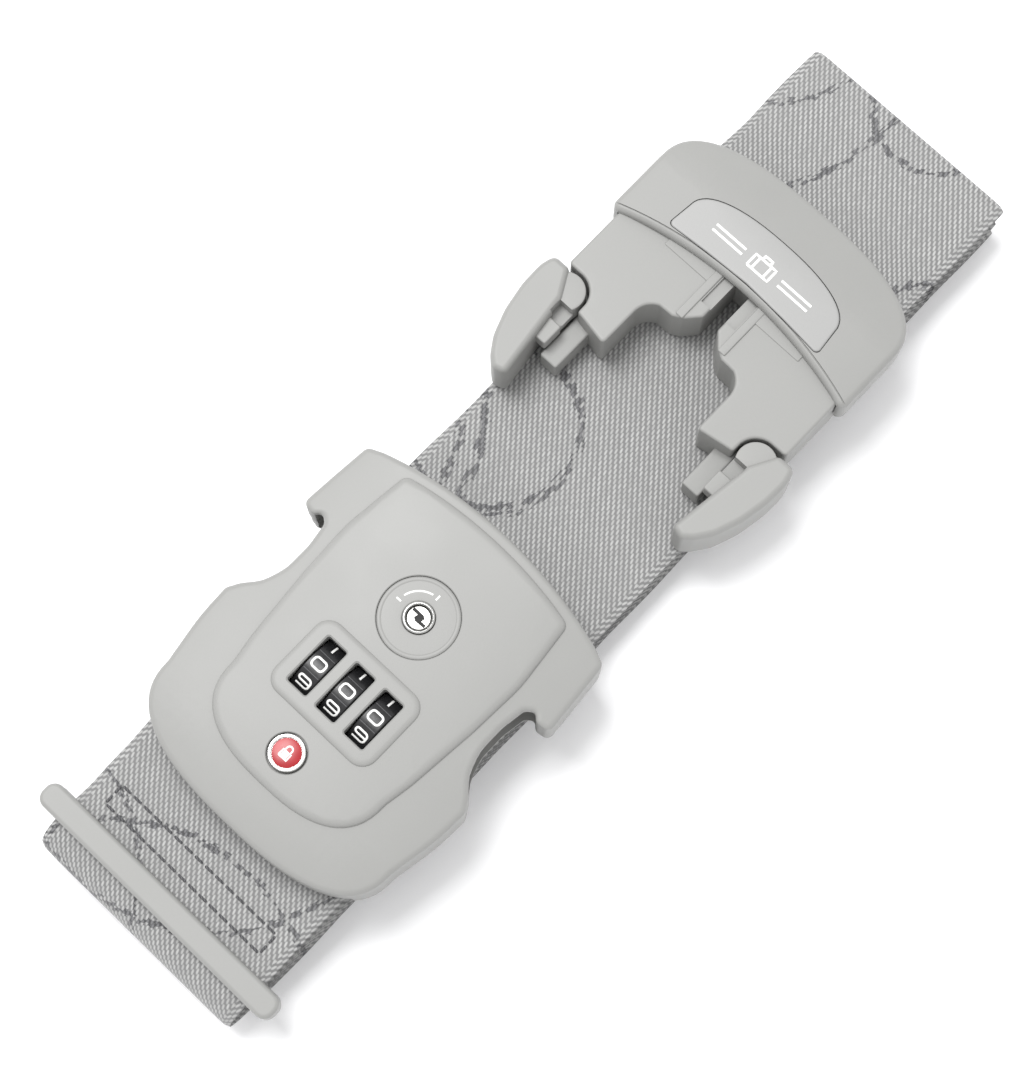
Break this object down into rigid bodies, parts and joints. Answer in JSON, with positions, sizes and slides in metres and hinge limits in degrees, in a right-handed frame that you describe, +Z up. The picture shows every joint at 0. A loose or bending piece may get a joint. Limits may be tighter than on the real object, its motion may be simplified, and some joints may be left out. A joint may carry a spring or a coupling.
{
  "type": "luggage strap",
  "caption": "Folded luggage strap of wide grey webbing with a combination lock buckle, its side-release plug and a keeper loop.",
  "frame": {"origin": "under the middle of the folded strap, on the surface that it lies on", "axes": "+X along the strap from the lock to the plug, +Y to the left, +Z up through the buckles"},
  "size_m": [0.22, 0.064, 0.0284],
  "materials": {
    "webbing": "woven polyester, fine slanted floats with darker line motifs",
    "shell": "light warm grey ABS, satin mould texture",
    "plate": "light grey ABS, slightly smoother",
    "dial": "black number dials with white digits",
    "hub": "turned brass",
    "steel": "plain steel",
    "nickel": "nickel plated, polished",
    "badge": "red enamel under a clear dome"
  },
  "bodies": {
    "root": {"webbing_pack": "webbing", "webbing_lock_end": "webbing", "webbing_plug_end": "webbing", "lock_top_shell": "shell", "lock_bottom_shell": "shell", "dial_shaft": "steel", "detent_spring": "steel", "key_disc": "plate", "key_collar": "nickel", "reset_spring": "steel", "badge": "badge", "lock_webbing_bar": "steel", "lock_screw_1": "steel", "lock_screw_2": "steel", "lock_screw_3": "steel", "lock_screw_4": "steel", "plug_body": "shell", "plug_cover": "shell", "nameplate": "plate", "wing_pin_left": "steel", "wing_pin_right": "steel", "wing_spring_left": "steel", "wing_spring_right": "steel", "plug_webbing_bar": "steel", "cover_screw_1": "steel", "cover_screw_2": "steel"},
    "dial_1_body": {"dial_1": "dial", "dial_hub_1": "hub"},
    "dial_2_body": {"dial_2": "dial", "dial_hub_2": "hub"},
    "dial_3_body": {"dial_3": "dial", "dial_hub_3": "hub"},
    "key_body": {"key_cylinder": "nickel", "key_cam": "steel"},
    "plate_body": {"locking_plate": "steel"},
    "reset_body": {"reset_button": "shell"},
    "wing_left_body": {"wing_left": "shell"},
    "wing_right_body": {"wing_right": "shell"},
    "keeper_body": {"keeper": "shell"}
  },
  "joints": [
    {"name": "dial_1_turn", "type": "hinge", "parent": "root", "child": "dial_1_body", "pos_m": [-0.05105, 0.00725, 0.0208], "axis": [0, 1, 0], "continuous": true},
    {"name": "dial_2_turn", "type": "hinge", "parent": "root", "child": "dial_2_body", "pos_m": [-0.05105, 0, 0.0208], "axis": [0, 1, 0], "continuous": true},
    {"name": "dial_3_turn", "type": "hinge", "parent": "root", "child": "dial_3_body", "pos_m": [-0.05105, -0.00725, 0.0208], "axis": [0, 1, 0], "continuous": true},
    {"name": "key_turn", "type": "hinge", "parent": "root", "child": "key_body", "pos_m": [-0.0316, 0, 0.0224], "axis": [0, 0, 1], "range_deg": [0, 90]},
    {"name": "plate_slide", "type": "slide", "parent": "root", "child": "plate_body", "axis": [-1, 0, 0], "range_m": [0, 0.0015]},
    {"name": "reset_press", "type": "slide", "parent": "root", "child": "reset_body", "axis": [0, 0, 1], "range_m": [0, 0.0012], "stiffness_N_per_m": 250, "deforming": ["reset_spring"]},
    {"name": "wing_left_squeeze", "type": "hinge", "parent": "root", "child": "wing_left_body", "pos_m": [0.0348, 0.0249, 0.015], "axis": [0, 0, 1], "range_deg": [0, 9], "stiffness_Nm_per_rad": 0.08},
    {"name": "wing_right_squeeze", "type": "hinge", "parent": "root", "child": "wing_right_body", "pos_m": [0.0348, -0.0249, 0.015], "axis": [0, 0, -1], "range_deg": [0, 9], "stiffness_Nm_per_rad": 0.08},
    {"name": "keeper_slide", "type": "slide", "parent": "root", "child": "keeper_body", "axis": [1, 0, 0], "range_m": [0, 0.0015]}
  ],
  "couplings": [
    {"joint": "key_turn", "follows": "plate_slide", "rad_per_m": 1047}
  ]
}
